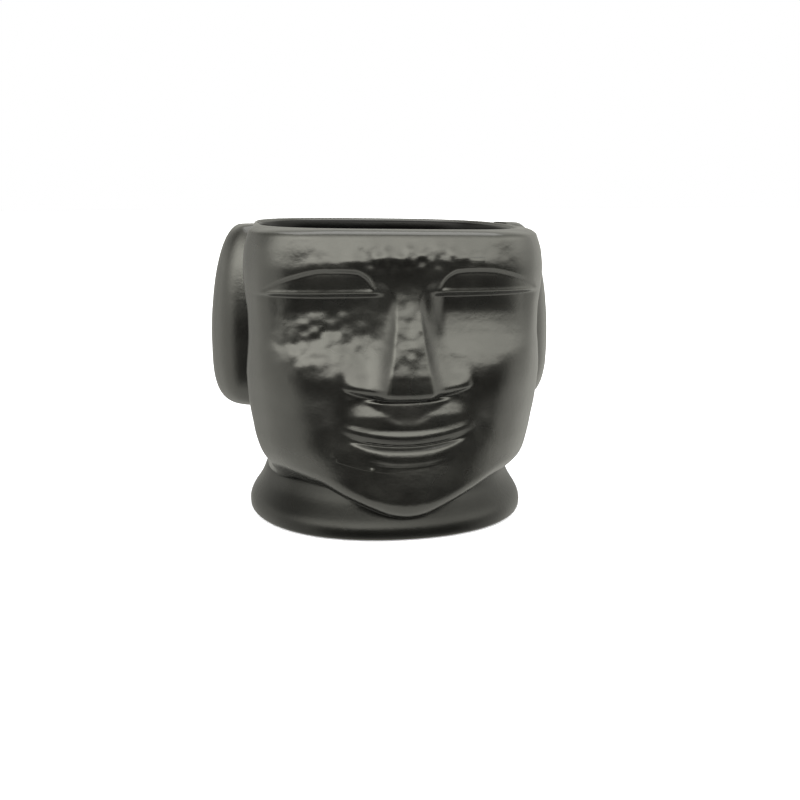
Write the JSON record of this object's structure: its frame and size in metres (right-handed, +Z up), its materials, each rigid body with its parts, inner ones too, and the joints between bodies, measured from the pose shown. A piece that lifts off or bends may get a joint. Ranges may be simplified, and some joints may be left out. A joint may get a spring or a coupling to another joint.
{
  "type": "head-shaped drinking mug",
  "caption": "Squat dark-glazed stoneware mug shaped as a carved stylised head with slit eyes, long nose, side ear lobes, open flat rim and a flared round foot.",
  "frame": {"origin": "centre of the foot, on the plane the mug stands on", "axes": "+Z up through the open rim, -Y out of the face, +X towards the ear on the face's left-hand side as the mug looks"},
  "size_m": [0.1216, 0.1017, 0.1],
  "materials": {
    "satin_glaze": "satin charcoal-black glaze with a faint olive cast, softly hammered in places",
    "gloss_glaze": "glossy black inside glaze",
    "bare_clay": "unglazed fired clay, matt"
  },
  "bodies": {
    "root": {"head_wall": "satin_glaze", "cup_floor": "satin_glaze", "foot": "satin_glaze", "foot_ring": "bare_clay", "ear_left": "satin_glaze", "ear_right": "satin_glaze", "nose": "satin_glaze", "upper_lip": "satin_glaze", "lower_lip": "satin_glaze", "inside_glaze": "gloss_glaze"}
  },
  "joints": []
}
